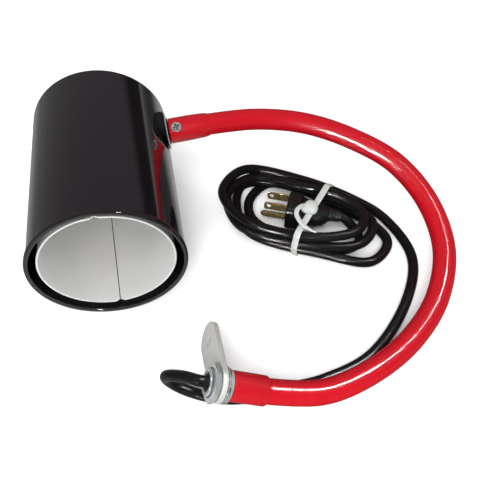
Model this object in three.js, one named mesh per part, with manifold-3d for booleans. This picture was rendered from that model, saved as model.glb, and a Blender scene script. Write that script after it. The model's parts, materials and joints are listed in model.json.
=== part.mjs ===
// Heat lamp fixture: a tube shade on a flexible gooseneck arm, with its mounting plate and power cord.
// Units are millimetres, +Z is up, and the fixture lies at rest on the plane Z = 0.
import * as THREE from 'three';
import { mergeVertices } from 'three/addons/utils/BufferGeometryUtils.js';
import Module from 'manifold-3d';

const wasm = await Module();
wasm.setup();

// ---------------------------------------------------------------- driving dimensions

const GAP = 0.3; // clearance between neighbouring pieces
const ROUND = 48; // facets around the shade
const MEDIUM = 24; // facets around fittings
const FINE = 14; // facets around arm links

// Shade, measured along its axis from the mouth.
const SHADE = { radius: 50.8, wall: 1.2, length: 143.2, lipRadius: 51.8, lipLength: 3.2, curl: 1.4 };
const SHADE_MOUTH = new THREE.Vector3(-84.6, -64.4, SHADE.lipRadius);
const SHADE_YAW = 10.4;
const SHADE_PITCH = 0.4; // the lip is larger than the tube, so the shade lies nose up
const LINER = { radius: 44, wall: 0.8, rimRadius: 44.5, rimLength: 1.3, start: 3.2, end: 95.6, notch: 1.7 };
const LINER_SEAMS = [88.5, 269]; // seam angles around the shade axis, 90 is the underside
const SEAM_HALF_GAP = 0.35;
const PLATE = { start: 96.4, thickness: 1.2, skirt: 6, opening: 13, vents: 6, ventRadius: 4.5, ventCircle: 33 };
const CAP = { start: 136, thickness: 1.2, skirt: 5, slots: 8, slotLength: 15, slotWidth: 4, slotCircle: 24 };

// Lampholder for a medium screw lamp.
const HOLDER = { radius: 19, front: 74.5, back: 114.5, flangeRadius: 23, flangeLength: 4, cavity: 14.6, cavityBack: 94.5 };
const HOLDER_HOLES = { screwRadius: 1.9, screwDepth: 30, leadDepth: 6, leadSpacing: 6 };
const SCREW_SHELL = { radius: 14, wall: 0.5, start: 77.5, end: 92.5 };
const CONTACT = { radius: 4.5, length: 3.4 };
const HOLDER_SCREW_CIRCLE = 17.2;

// Swivel joint between the shade and the arm.
const SWIVEL = { along: 109, height: 10.2, tilt: 4.3, face: 50.9 };
const SADDLE = { length: 16, width: 24, depth: 9, chamfer: 2.2 };
const SADDLE_WASHER = { radius: 13.3, thickness: 0.9 };
const SWIVEL_RING = { radius: 9.8, thickness: 0.6 };
const STUD = { radius: 6, bore: 4, inside: 14, outside: 22 };
const STUD_NUT = { acrossFlats: 16, start: -11, end: -7, chamfer: 0.6 };
const FERRULE = { radius: 9.4, taperRadius: 8.9, length: 29.5, bore: 6.3 };
const CLAMP_SCREW = { radius: 2, head: 3.8, headHeight: 2.3, along: 8, angle: 38 };

// Gooseneck arm: links joined by ball seats along the arm's centreline.
const ARM = { radius: 8, bore: 4, ball: 6.6, cup: 6.9, setback: 2, links: 11 };

// Base fittings, measured outwards along the nipple from the mounting plate.
const BASE_CENTRE = new THREE.Vector3(-12.5, -134.5, 30);
const BASE_AXIS = new THREE.Vector3(-0.913, -0.037, 0.407).normalize();
const BASE_FERRULE = { start: -31, end: -6.6, bore: 6.9 };
const NIPPLE = { radius: 8.55, stemRadius: 6.6, bore: 5.6, start: -25, collar: -7.1, end: 8.2 };
const COLLAR = { acrossFlats: 19.6, start: -6.3, end: -3.2 };
const PLATE_WASHER = { radius: 11.6, start: -2.9, end: -2 };
const MOUNT = { start: -1.7, end: 1.9, endRadius: 11.6, reach: 39.4, hole: 3.5, holeAt: 37.2 };
const LOCKNUT = { acrossFlats: 22.2, start: 2.2, end: 6.1, chamfer: 0.9 };
const MOUNT_TURN = 21; // tilt of the plate's long axis about the nipple
const BUSHING = { radius: 5.3, bore: 4.1, start: 3, end: 7.6 };

// Power cord, plug and tie.
const CORD = { radius: 3.7, sides: 8, steps: 210 };
const COIL_LAYERS = [5.4, 13, 20.6]; // heights of the coil's three layers of cord
const PLUG = { face: [38.4, 20.2, 14.9], yaw: -17, roll: 255, width: 26, height: 22, length: 23, tail: 19, tailRadius: 5.6 };
const BLADE = { width: 6.35, thickness: 1.5, length: 17.5, spacing: 12.7, hole: 1.9, holeFromTip: 3.2 };
const GROUND = { radius: 2.4, length: 21, offset: 11.9 };
const TIE = { width: 4.6, thickness: 1.3, clearance: 4.1 };
const TIE_STRANDS = [[-29, 5.6], [27.6, 5.6], [34.4, 14], [24.6, 22], [-27.2, 22], [-30.2, 13]];
const TIE_HEAD = { length: 8, width: 8, height: 5.5, at: -3, seat: 26.4 };
const TIE_PLACE = { x: 56, y: 10.8, turn: 61.4 };
const LEAD_RADIUS = 1.4;

// ---------------------------------------------------------------- materials

function material(color, roughness, metalness) {
  return new THREE.MeshStandardMaterial({ color, roughness, metalness });
}

const blackPaint = material(0x1a181b, 0.12, 0.1);
const redVinyl = material(0xc4161f, 0.3, 0);
const redPaint = material(0xb8141c, 0.3, 0.1);
const zinc = material(0xc6cdd0, 0.3, 1);
const aluminium = material(0xd8dad8, 0.35, 1);
const blackPlastic = material(0x1c1b1d, 0.45, 0);
const cordPvc = material(0x202022, 0.4, 0);
const brass = material(0xc9a24a, 0.3, 1);
const ceramic = material(0xe9e6dd, 0.4, 0);
const tieNylon = material(0xe8ebe6, 0.5, 0);

// ---------------------------------------------------------------- geometry helpers

function rad(degrees) {
  return THREE.MathUtils.degToRad(degrees);
}

// Six times the volume inside a closed surface: negative when its faces point inwards.
function signedVolume(position, index) {
  const a = new THREE.Vector3();
  const b = new THREE.Vector3();
  const c = new THREE.Vector3();
  let total = 0;
  for (let i = 0; i < index.length; i += 3) {
    a.fromBufferAttribute(position, index[i]);
    b.fromBufferAttribute(position, index[i + 1]);
    c.fromBufferAttribute(position, index[i + 2]);
    total += a.dot(b.cross(c));
  }
  return total;
}

// Turn a closed three.js geometry into a solid that can be joined and cut.
function solid(geometry) {
  const bare = geometry.clone();
  bare.deleteAttribute('normal');
  bare.deleteAttribute('uv');
  const merged = mergeVertices(bare, 1e-4);
  const source = merged.index.array;
  const triangles = [];
  for (let i = 0; i < source.length; i += 3) {
    const [a, b, c] = [source[i], source[i + 1], source[i + 2]];
    if (a !== b && b !== c && a !== c) {
      triangles.push(a, b, c);
    }
  }
  if (signedVolume(merged.attributes.position, triangles) < 0) {
    triangles.reverse();
  }
  const vertProperties = new Float32Array(merged.attributes.position.array);
  const triVerts = new Uint32Array(triangles);
  return new wasm.Manifold(new wasm.Mesh({ numProp: 3, vertProperties, triVerts }));
}

function geometryOf(manifold) {
  const { vertProperties, triVerts } = manifold.getMesh();
  const geometry = new THREE.BufferGeometry();
  geometry.setAttribute('position', new THREE.BufferAttribute(new Float32Array(vertProperties), 3));
  geometry.setIndex(new THREE.BufferAttribute(new Uint32Array(triVerts), 1));
  geometry.computeVertexNormals();
  return geometry;
}

function piece(name, manifold, look) {
  const mesh = new THREE.Mesh(geometryOf(manifold), look);
  mesh.name = name;
  return mesh;
}

// Revolve a closed profile of [radius, z] points about +Z.
function revolve(profile, facets = MEDIUM) {
  const points = profile.map(([radius, z]) => new THREE.Vector2(radius, z));
  points.push(points[0].clone());
  return solid(new THREE.LatheGeometry(points, facets).rotateX(Math.PI / 2));
}

function cylinder(radius, low, high, facets = MEDIUM) {
  return solid(drum(radius, low, high, facets));
}

function drum(radius, low, high, facets = MEDIUM) {
  const geometry = new THREE.CylinderGeometry(radius, radius, high - low, facets);
  return geometry.rotateX(Math.PI / 2).translate(0, 0, (low + high) / 2);
}

function ring(outer, inner, low, high, facets = MEDIUM) {
  return revolve([[inner, low], [outer, low], [outer, high], [inner, high]], facets);
}

function box(width, depth, height, x, y, z) {
  return solid(new THREE.BoxGeometry(width, depth, height).translate(x, y, z));
}

function hexNut(acrossFlats, bore, low, high, chamfer) {
  const radius = acrossFlats / 2 / Math.cos(Math.PI / 6);
  const body = cylinder(radius, low, high, 6);
  const flat = acrossFlats / 2;
  const turned = revolve([
    [bore, low],
    [flat, low],
    [radius + 0.01, low + chamfer],
    [radius + 0.01, high - chamfer],
    [flat, high],
    [bore, high],
  ]);
  return body.intersect(turned);
}

function extrude(shape, low, high, curveSegments = 12) {
  const settings = { depth: high - low, bevelEnabled: false, curveSegments };
  return solid(new THREE.ExtrudeGeometry(shape, settings).translate(0, 0, low));
}

// Sweep a round section along a curve.
function sweep(curve, radius, sides, steps) {
  const section = new THREE.Shape();
  section.absarc(0, 0, radius, 0, 2 * Math.PI);
  const settings = { steps, bevelEnabled: false, extrudePath: curve, curveSegments: sides / 2 };
  return solid(new THREE.ExtrudeGeometry(section, settings));
}

function smooth(points, tension = 0.5) {
  const vectors = points.map((point) => new THREE.Vector3(...point));
  return new THREE.CatmullRomCurve3(vectors, false, 'centripetal', tension);
}

// A group whose Z axis runs along zAxis and whose X axis lies as near as it can to xAxis.
function frameAt(origin, zAxis, xAxis) {
  const z = zAxis.clone().normalize();
  const y = new THREE.Vector3().crossVectors(z, xAxis).normalize();
  const x = new THREE.Vector3().crossVectors(y, z);
  const group = new THREE.Group();
  group.quaternion.setFromRotationMatrix(new THREE.Matrix4().makeBasis(x, y, z));
  group.position.copy(origin);
  group.updateMatrix();
  return group;
}

function around(count, make) {
  return Array.from({ length: count }, (_, i) => make((i * 2 * Math.PI) / count));
}

// ---------------------------------------------------------------- shade

function shadeFrame() {
  const yaw = new THREE.Group();
  yaw.position.copy(SHADE_MOUTH);
  yaw.rotation.z = rad(SHADE_YAW);
  const lying = new THREE.Group();
  lying.rotation.x = rad(-90 - SHADE_PITCH);
  yaw.add(lying);
  return { yaw, lying };
}

// The swivel frame in the shade's own frame: +Z out of the shade, +X along the shade, +Y upwards.
function swivelFrame() {
  const tilt = rad(SWIVEL.tilt);
  const out = new THREE.Vector3(Math.cos(tilt), -Math.sin(tilt), 0);
  const up = new THREE.Vector3(-Math.sin(tilt), -Math.cos(tilt), 0);
  const origin = out.clone().multiplyScalar(SWIVEL.face).addScaledVector(up, SWIVEL.height);
  origin.z = SWIVEL.along;
  return frameAt(origin, out, new THREE.Vector3(0, 0, 1));
}

function inSwivelFrame(geometry) {
  return solid(geometry.applyMatrix4(swivelFrame().matrix));
}

function shadeShell() {
  const inner = SHADE.radius - SHADE.wall;
  const tube = revolve([
    [SHADE.radius, SHADE.lipLength + 1.2],
    [SHADE.lipRadius, SHADE.lipLength],
    [SHADE.lipRadius, 1.1],
    [SHADE.lipRadius - 1, 0],
    [inner, 0],
    [inner - 0.7, 0.7],
    [inner - 0.7, SHADE.lipLength - 0.8],
    [inner, SHADE.lipLength],
    [inner, SHADE.length - 2.5 * SHADE.curl],
    [inner - SHADE.curl, SHADE.length],
    [SHADE.radius - SHADE.curl, SHADE.length],
    [SHADE.radius - 0.3 * SHADE.curl, SHADE.length - 1.2 * SHADE.curl],
    [SHADE.radius, SHADE.length - 2.5 * SHADE.curl],
  ], ROUND);
  return tube.subtract(inSwivelFrame(drum(STUD.radius + GAP, -20, 5)));
}

function ventSlot(angle) {
  const slot = box(CAP.slotLength, CAP.slotWidth, 10, CAP.slotCircle, 0, CAP.start);
  return slot.rotate([0, 0, THREE.MathUtils.radToDeg(angle)]);
}

// A pressed disc with its skirt turned towards the mouth, seated just inside the shell's end.
function shadeCap() {
  const radius = SHADE.radius - SHADE.wall - GAP;
  const top = CAP.start + CAP.thickness;
  const disc = revolve([
    [0, CAP.start],
    [radius - 1.2, CAP.start],
    [radius - 1.2, CAP.start - CAP.skirt],
    [radius, CAP.start - CAP.skirt],
    [radius, top - 0.6],
    [radius - 0.6, top],
    [0, top],
  ], ROUND);
  return around(CAP.slots, ventSlot).reduce((body, slot) => body.subtract(slot), disc);
}

function sector(outer, inner, from, to, low, high) {
  const shape = new THREE.Shape();
  shape.absarc(0, 0, outer, from, to, false);
  shape.absarc(0, 0, inner, to, from, true);
  return extrude(shape, low, high, ROUND / 2);
}

// One half of the reflector, between two seams, with rounded corners at the rim.
function linerHalf(fromSeam, toSeam) {
  const margin = SEAM_HALF_GAP / LINER.radius;
  const from = rad(fromSeam) + margin;
  const to = rad(toSeam) - margin;
  const inner = LINER.radius - LINER.wall;
  const wall = sector(LINER.radius, inner, from, to, LINER.start, LINER.end);
  const rim = sector(LINER.rimRadius, inner, from, to, LINER.start, LINER.start + LINER.rimLength);
  const notches = [fromSeam, toSeam].map((seam) => cylinder(LINER.notch, 40, 48, 12)
    .rotate([0, 90, seam])
    .translate([0, 0, LINER.start]));
  return wall.add(rim).subtract(notches[0]).subtract(notches[1]);
}

// The disc that holds the lampholder and screens the wiring space from the lamp's heat.
function lampPlate() {
  const radius = SHADE.radius - SHADE.wall - GAP;
  const high = PLATE.start + PLATE.thickness;
  const dish = revolve([
    [PLATE.opening, PLATE.start],
    [radius - PLATE.thickness, PLATE.start],
    [radius - PLATE.thickness, PLATE.start - PLATE.skirt],
    [radius, PLATE.start - PLATE.skirt],
    [radius, high],
    [PLATE.opening, high],
  ], ROUND);
  const vents = around(PLATE.vents, (angle) => cylinder(PLATE.ventRadius, PLATE.start - 1, high + 1, 14)
    .translate([PLATE.ventCircle * Math.cos(angle), PLATE.ventCircle * Math.sin(angle), 0]));
  const screwHoles = [-1, 1].map((side) => cylinder(HOLDER_HOLES.screwRadius, PLATE.start - 1, high + 1, 12)
    .translate([0, side * HOLDER_SCREW_CIRCLE, 0]));
  return [...vents, ...screwHoles].reduce((body, hole) => body.subtract(hole), dish);
}

// A round hole drilled from the back of the lampholder.
function holderHole(radius, depth) {
  return cylinder(radius, HOLDER.back - depth, HOLDER.back + 1, 12);
}

function lampholderBody() {
  const neck = PLATE.opening - GAP;
  const seat = PLATE.start - GAP;
  const body = revolve([
    [0, HOLDER.cavityBack],
    [HOLDER.cavity, HOLDER.cavityBack],
    [HOLDER.cavity, HOLDER.front],
    [HOLDER.radius - 1, HOLDER.front],
    [HOLDER.radius, HOLDER.front + 1.5],
    [HOLDER.radius, seat - HOLDER.flangeLength],
    [HOLDER.flangeRadius, seat - HOLDER.flangeLength],
    [HOLDER.flangeRadius, seat],
    [neck, seat],
    [neck, HOLDER.back],
    [0, HOLDER.back],
  ], 36);
  const cuts = [-1, 1].flatMap((side) => [
    holderHole(HOLDER_HOLES.screwRadius, HOLDER_HOLES.screwDepth).translate([0, side * HOLDER_SCREW_CIRCLE, 0]),
    holderHole(LEAD_RADIUS + 3 * GAP, HOLDER_HOLES.leadDepth).translate([side * HOLDER_HOLES.leadSpacing, 0, 0]),
  ]);
  return cuts.reduce((whole, cut) => whole.subtract(cut), body);
}

function screwShell() {
  return ring(SCREW_SHELL.radius, SCREW_SHELL.radius - SCREW_SHELL.wall, SCREW_SHELL.start, SCREW_SHELL.end);
}

function centreContact() {
  const back = HOLDER.cavityBack - GAP;
  return revolve([
    [0, back - CONTACT.length],
    [2.2, back - CONTACT.length],
    [CONTACT.radius, back - 1],
    [CONTACT.radius, back],
    [0, back],
  ], 16);
}

function holderScrew() {
  const head = PLATE.start + PLATE.thickness + GAP;
  return revolve([
    [0, head - 8],
    [1.5, head - 8],
    [1.5, head],
    [3.1, head],
    [2.7, head + 1.6],
    [0, head + 2],
  ], 12);
}

// ---------------------------------------------------------------- swivel joint

function saddleBlock() {
  const halfLength = SADDLE.length / 2 - SADDLE.chamfer;
  const halfWidth = SADDLE.width / 2 - SADDLE.chamfer;
  const outline = new THREE.Shape();
  outline.moveTo(-halfLength, -halfWidth);
  outline.lineTo(halfLength, -halfWidth);
  outline.lineTo(halfLength, halfWidth);
  outline.lineTo(-halfLength, halfWidth);
  const settings = {
    depth: SADDLE.depth,
    bevelThickness: SADDLE.chamfer,
    bevelSize: SADDLE.chamfer,
    bevelSegments: 1,
  };
  const blank = new THREE.ExtrudeGeometry(outline, settings).translate(0, 0, -SADDLE.depth - SADDLE.chamfer);
  const place = swivelFrame().matrix;
  const block = solid(blank.applyMatrix4(place));
  const shade = cylinder(SHADE.radius + GAP, 0, SHADE.length, 2 * ROUND);
  return block.subtract(shade).subtract(inSwivelFrame(drum(STUD.radius + GAP, -20, 5)));
}

function swivelStud() {
  return ring(STUD.radius, STUD.bore, -STUD.inside, STUD.outside);
}

// The two washers and the ferrule are stacked outwards from the saddle's face.
const washerLow = GAP;
const washerHigh = washerLow + SADDLE_WASHER.thickness;
const swivelRingLow = washerHigh + GAP;
const swivelRingHigh = swivelRingLow + SWIVEL_RING.thickness;
const ferruleLow = swivelRingHigh + GAP;
const ferruleHigh = ferruleLow + FERRULE.length;

function clampHole() {
  return cylinder(CLAMP_SCREW.radius + GAP, 3, 12, 14)
    .rotate([-90, 0, CLAMP_SCREW.angle])
    .translate([0, 0, CLAMP_SCREW.along]);
}

function arc(radius, from, to, steps) {
  return Array.from({ length: steps + 1 }, (_, i) => {
    const angle = from + ((to - from) * i) / steps;
    return [radius * Math.sin(angle), radius * Math.cos(angle)];
  });
}

// Profile points of a ball at z = 0 that faces -Z, from the bore to the shoulder.
function ballProfile() {
  const boreAngle = Math.PI - Math.asin(ARM.bore / ARM.ball);
  const shoulderAngle = Math.acos(ARM.setback / ARM.ball);
  return arc(ARM.ball, boreAngle, shoulderAngle, 5);
}

// Profile points of a cup at z that opens towards +Z, from its rim to the bore.
function cupProfile(z) {
  const rimAngle = Math.PI - Math.acos(ARM.setback / ARM.cup);
  const boreAngle = Math.PI - Math.asin(ARM.bore / ARM.cup);
  return arc(ARM.cup, rimAngle, boreAngle, 4).map(([radius, height]) => [radius, z + height]);
}

// The tip ferrule slides over the swivel stud and ends in the ball of the last arm joint.
function tipFerrule() {
  const ball = ballProfile().map(([radius, height]) => [radius, ferruleHigh - height]);
  const body = revolve([
    [FERRULE.bore, ferruleLow],
    [FERRULE.radius, ferruleLow],
    [FERRULE.radius, ferruleLow + 16],
    [FERRULE.taperRadius, ferruleHigh - 3.4],
    [ARM.radius, ferruleHigh - ARM.setback],
    ...ball.reverse(),
    [ARM.bore, ferruleLow + 23],
    [FERRULE.bore, ferruleLow + 23],
  ]);
  return body.subtract(clampHole());
}

function clampScrew() {
  const seat = FERRULE.radius + GAP;
  const screw = revolve([
    [0, STUD.radius + GAP],
    [CLAMP_SCREW.radius, STUD.radius + GAP],
    [CLAMP_SCREW.radius, seat],
    [CLAMP_SCREW.head, seat],
    [CLAMP_SCREW.head, seat + 1],
    [CLAMP_SCREW.head * 0.62, seat + CLAMP_SCREW.headHeight],
    [0, seat + CLAMP_SCREW.headHeight],
  ], 20);
  const recess = box(4.6, 1.1, 2.4, 0, 0, seat + CLAMP_SCREW.headHeight);
  const cross = recess.add(recess.rotate([0, 0, 90]));
  return screw.subtract(cross).rotate([-90, 0, CLAMP_SCREW.angle]).translate([0, 0, CLAMP_SCREW.along]);
}

// ---------------------------------------------------------------- base fittings

// Base ferrule: gripped on the nipple's stem, with the seat of the first arm joint in its end.
function baseFerrule() {
  const cup = cupProfile(-BASE_FERRULE.start);
  const stemEnd = -NIPPLE.start;
  return revolve([
    [BASE_FERRULE.bore, -BASE_FERRULE.end],
    [FERRULE.radius, -BASE_FERRULE.end],
    [FERRULE.radius, -BASE_FERRULE.start - ARM.setback - 1],
    [ARM.radius, -BASE_FERRULE.start - ARM.setback],
    ...cup,
    [ARM.bore, stemEnd - 1.4],
    [BASE_FERRULE.bore, stemEnd - 1.4],
  ]).mirror([0, 0, 1]);
}

// Hollow threaded nipple with a plain stem that goes into the base ferrule.
function baseNipple() {
  return revolve([
    [NIPPLE.bore, NIPPLE.start + 1.9],
    [NIPPLE.stemRadius, NIPPLE.start + 1.9],
    [NIPPLE.stemRadius, NIPPLE.collar + 0.9],
    [NIPPLE.radius, NIPPLE.collar + 0.9],
    [NIPPLE.radius, NIPPLE.end - 0.8],
    [NIPPLE.radius - 0.8, NIPPLE.end],
    [NIPPLE.bore, NIPPLE.end],
  ]);
}

// A strap with round ends: one end on the nipple and a screw hole in the other, along +X.
function mountPlate() {
  const shape = new THREE.Shape();
  shape.absarc(0, 0, MOUNT.endRadius, 0.5 * Math.PI, 1.5 * Math.PI, false);
  shape.absarc(MOUNT.reach, 0, MOUNT.endRadius, 1.5 * Math.PI, 0.5 * Math.PI, false);
  const blank = extrude(shape, MOUNT.start, MOUNT.end, 20);
  const bore = cylinder(NIPPLE.radius + GAP, MOUNT.start - 1, MOUNT.end + 1);
  const screwHole = cylinder(MOUNT.hole, MOUNT.start - 1, MOUNT.end + 1, 20).translate([MOUNT.holeAt, 0, 0]);
  return blank.subtract(bore).subtract(screwHole);
}

// ---------------------------------------------------------------- arm

// Centreline of the arm from the base ferrule's end to the tip ferrule's end.
function armCurve(baseEnd, tipEnd) {
  return smooth([
    baseEnd.toArray(),
    [30, -135, 14.4],
    [46, -133.4, 13],
    [78, -121, 12],
    [110, -98, 11.6],
    [136, -65, 15],
    [147, -23, 25],
    [136, 14, 38],
    [110, 42, 50.5],
    [74, 58.5, 58],
    [31, 68.5, 63.4],
    tipEnd.toArray(),
  ]);
}

function armLink(length) {
  return revolve([
    ...ballProfile(),
    [ARM.radius, ARM.setback],
    [ARM.radius, length - ARM.setback],
    ...cupProfile(length),
  ], FINE);
}

// ---------------------------------------------------------------- power cord

// From the nipple, round a loop beside the plate, under the arm, and into a tied coil that ends at the plug.
function cordCurve(plugEnd, plugAxis) {
  const exit = BASE_CENTRE.clone().addScaledVector(BASE_AXIS, NIPPLE.end - 5);
  const outside = BASE_CENTRE.clone().addScaledVector(BASE_AXIS, NIPPLE.end + 4);
  const lead = plugEnd.clone().addScaledVector(plugAxis, 5);
  const [low, middle, high] = COIL_LAYERS;
  return smooth([
    exit.toArray(),
    outside.toArray(),
    [-33, -130, 30.5],
    [-44.5, -125.8, 19.5],
    [-46, -127, 8.5],
    [-38, -129.4, 4.3],
    [-14, -135.9, 4.2],
    [8, -135, 4.2],
    [30, -127.5, 4.2],
    [53, -119.8, 4.2],
    [87, -102, 4.2],
    [119, -58, 4.2],
    [129.5, -18, 4.2],
    [113.5, 18, 6],
    [92, 32.5, 10.5],
    [50, 47.5, 18.4],
    [3, 58.5, high],
    [-15.5, 33, high],
    [5, 2, high],
    [58, -14, high],
    [88, -7, high],
    [94, 7, high],
    [82, 25, high],
    [53, 36, high],
    [14, 48.5, 15.2],
    [-8.5, 35, middle],
    [0, 4, middle],
    [59, -18, middle],
    [92, -13, middle],
    [102, 7, middle],
    [85, 24, middle],
    [54, 38, middle],
    [36, 48.5, 11.6],
    [16, 59, 8.6],
    [-1.5, 39, low],
    [7, 4, low],
    [63, -20, low],
    [98, -25, low],
    [113, -7, low],
    [104.5, 11, low],
    [80.5, 28.5, low],
    [50, 39.8, low],
    [18, 46, low],
    [8, 33, low],
    [18, 12, low],
    [36, 1, low],
    [61, -10, low],
    [82, -13, low],
    [92, -4, low],
    lead.toArray(),
    plugEnd.toArray(),
  ]);
}

// A wire bent once, from the back of the lampholder to the stud, in the shade's frame.
function lampLead(side) {
  const frame = swivelFrame();
  const inStud = new THREE.Vector3(side * 1.8, 0, -STUD.inside + 8).applyMatrix4(frame.matrix);
  const atStud = new THREE.Vector3(side * 1.8, 0, -STUD.inside - 3).applyMatrix4(frame.matrix);
  const path = smooth([
    [side * 6, 0, HOLDER.back - 5],
    [side * 6, 0, HOLDER.back + 3],
    [side * 4 + 14, -4, HOLDER.back + 5 + side * 2],
    atStud.toArray(),
    inStud.toArray(),
  ]);
  return sweep(path, LEAD_RADIUS, 8, 16);
}

// ---------------------------------------------------------------- plug and tie

// Plug frame: +Z points out of the face along the blades, +Y from the ground pin to the blades.
function plugBody() {
  const half = PLUG.width / 2;
  const shape = new THREE.Shape();
  const corner = 6;
  const low = -PLUG.height / 2 - 2;
  const high = PLUG.height / 2 - 2;
  shape.moveTo(-half + corner, high);
  shape.absarc(-half + corner, high - corner, corner, Math.PI / 2, Math.PI, false);
  shape.absarc(0, low + half - 2, half - 2, Math.PI, 2 * Math.PI, false);
  shape.absarc(half - corner, high - corner, corner, 0, Math.PI / 2, false);
  const body = extrude(shape, -PLUG.length, 0, 8);
  const tail = revolve([
    [0, -PLUG.length - PLUG.tail],
    [PLUG.tailRadius - 1, -PLUG.length - PLUG.tail],
    [PLUG.tailRadius + 2, -PLUG.length + 0.5],
    [0, -PLUG.length + 0.5],
  ], 20);
  const cordSocket = cylinder(CORD.radius + GAP, -PLUG.length - PLUG.tail - 1, -PLUG.length - PLUG.tail + 5, 20);
  const slots = [-1, 1].map((side) => bladeBlank(side, GAP, -8));
  const pinHole = cylinder(GROUND.radius + GAP, -8.4, 1, 16).translate([0, -GROUND.offset + 4, 0]);
  return body.add(tail).subtract(cordSocket).subtract(slots[0]).subtract(slots[1]).subtract(pinHole);
}

function bladeBlank(side, growth, root) {
  const width = BLADE.width + 2 * growth;
  const thickness = BLADE.thickness + 2 * growth;
  const length = BLADE.length - root + growth;
  return box(thickness, width, length, (side * BLADE.spacing) / 2, 4, root - growth + length / 2);
}

function blade(side) {
  const hole = cylinder(BLADE.hole, -4, 4, 16)
    .rotate([0, 90, 0])
    .translate([(side * BLADE.spacing) / 2, 4, BLADE.length - BLADE.holeFromTip]);
  return bladeBlank(side, 0, -8).subtract(hole);
}

function groundPin() {
  return revolve([
    [0, -8],
    [GROUND.radius, -8],
    [GROUND.radius, GROUND.length - 2],
    [GROUND.radius - 1.3, GROUND.length],
    [0, GROUND.length],
  ], 16).translate([0, -GROUND.offset + 4, 0]);
}

// Line drawn tight around the outermost strands of the coil: X across the coil, Y up.
function tieOutline(radius) {
  const count = TIE_STRANDS.length;
  const normals = TIE_STRANDS.map(([x, y], i) => {
    const [nextX, nextY] = TIE_STRANDS[(i + 1) % count];
    return Math.atan2(nextY - y, nextX - x) - Math.PI / 2;
  });
  const shape = new THREE.Shape();
  TIE_STRANDS.forEach(([x, y], i) => {
    shape.absarc(x, y, radius, normals[(i + count - 1) % count], normals[i], false);
  });
  return shape;
}

// A flat strap drawn tight around the coil, with the block of its head on top.
function cordTie() {
  const band = extrude(tieOutline(TIE.clearance + TIE.thickness), -TIE.width / 2, TIE.width / 2, 5);
  const inside = extrude(tieOutline(TIE.clearance), -TIE.width, TIE.width, 5);
  const headHeight = TIE_HEAD.seat + TIE_HEAD.height / 2;
  const head = box(TIE_HEAD.length, TIE_HEAD.height, TIE_HEAD.width, TIE_HEAD.at, headHeight, 0);
  return band.subtract(inside).add(head);
}

// ---------------------------------------------------------------- assembly

const fixture = new THREE.Group();

const { yaw: shadePlacement, lying: shade } = shadeFrame();
fixture.add(shadePlacement);
shade.add(piece('shade_shell', shadeShell(), blackPaint));
shade.add(piece('shade_cap', shadeCap(), blackPaint));
shade.add(piece('liner_half_left', linerHalf(LINER_SEAMS[0], LINER_SEAMS[1]), aluminium));
shade.add(piece('liner_half_right', linerHalf(LINER_SEAMS[1] - 360, LINER_SEAMS[0]), aluminium));
shade.add(piece('lamp_plate', lampPlate(), zinc));
shade.add(piece('lampholder_body', lampholderBody(), ceramic));
shade.add(piece('lampholder_screw_shell', screwShell(), brass));
shade.add(piece('lampholder_contact', centreContact(), brass));
for (const side of [-1, 1]) {
  const screw = piece(side < 0 ? 'lampholder_screw_1' : 'lampholder_screw_2', holderScrew(), zinc);
  screw.position.y = side * HOLDER_SCREW_CIRCLE;
  shade.add(screw);
}
shade.add(piece('lead_live', lampLead(1), blackPlastic));
shade.add(piece('lead_neutral', lampLead(-1), tieNylon));
shade.add(piece('saddle_block', saddleBlock(), blackPlastic));

const swivel = swivelFrame();
shade.add(swivel);
const studBore = STUD.radius + GAP;
swivel.add(piece('saddle_washer', ring(SADDLE_WASHER.radius, studBore, washerLow, washerHigh, 36), zinc));
swivel.add(piece('swivel_ring', ring(SWIVEL_RING.radius, studBore, swivelRingLow, swivelRingHigh), blackPlastic));
swivel.add(piece('swivel_stud', swivelStud(), zinc));
swivel.add(piece('stud_nut', hexNut(STUD_NUT.acrossFlats, studBore, STUD_NUT.start, STUD_NUT.end, STUD_NUT.chamfer), zinc));
swivel.add(piece('tip_ferrule', tipFerrule(), redPaint));
swivel.add(piece('clamp_screw', clampScrew(), zinc));

const base = frameAt(BASE_CENTRE, BASE_AXIS, new THREE.Vector3(0, 1, 0));
fixture.add(base);
base.add(piece('base_ferrule', baseFerrule(), redPaint));
base.add(piece('base_nipple', baseNipple(), zinc));
base.add(piece('base_collar', hexNut(COLLAR.acrossFlats, NIPPLE.radius + GAP, COLLAR.start, COLLAR.end, 0.6), zinc));
base.add(piece('plate_washer', ring(PLATE_WASHER.radius, NIPPLE.radius + GAP, PLATE_WASHER.start, PLATE_WASHER.end), zinc));
base.add(piece('cord_bushing', ring(BUSHING.radius, BUSHING.bore, BUSHING.start, BUSHING.end), blackPlastic));
const locknut = hexNut(LOCKNUT.acrossFlats, NIPPLE.radius + GAP, LOCKNUT.start, LOCKNUT.end, LOCKNUT.chamfer);
base.add(piece('base_locknut', locknut, zinc));
const mount = piece('mount_plate', mountPlate(), zinc);
mount.rotation.z = rad(MOUNT_TURN);
base.add(mount);

fixture.updateMatrixWorld(true);

const baseEnd = new THREE.Vector3(0, 0, BASE_FERRULE.start).applyMatrix4(base.matrixWorld);
const tipEnd = new THREE.Vector3(0, 0, ferruleHigh).applyMatrix4(swivel.matrixWorld);
const centreline = armCurve(baseEnd, tipEnd);
const joints = centreline.getSpacedPoints(ARM.links);
for (let i = 0; i < ARM.links; i += 1) {
  const along = joints[i + 1].clone().sub(joints[i]);
  const place = frameAt(joints[i], along, new THREE.Vector3(0, 0, 1));
  place.add(piece(`arm_link_${i + 1}`, armLink(along.length()), redVinyl));
  fixture.add(place);
}

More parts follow.
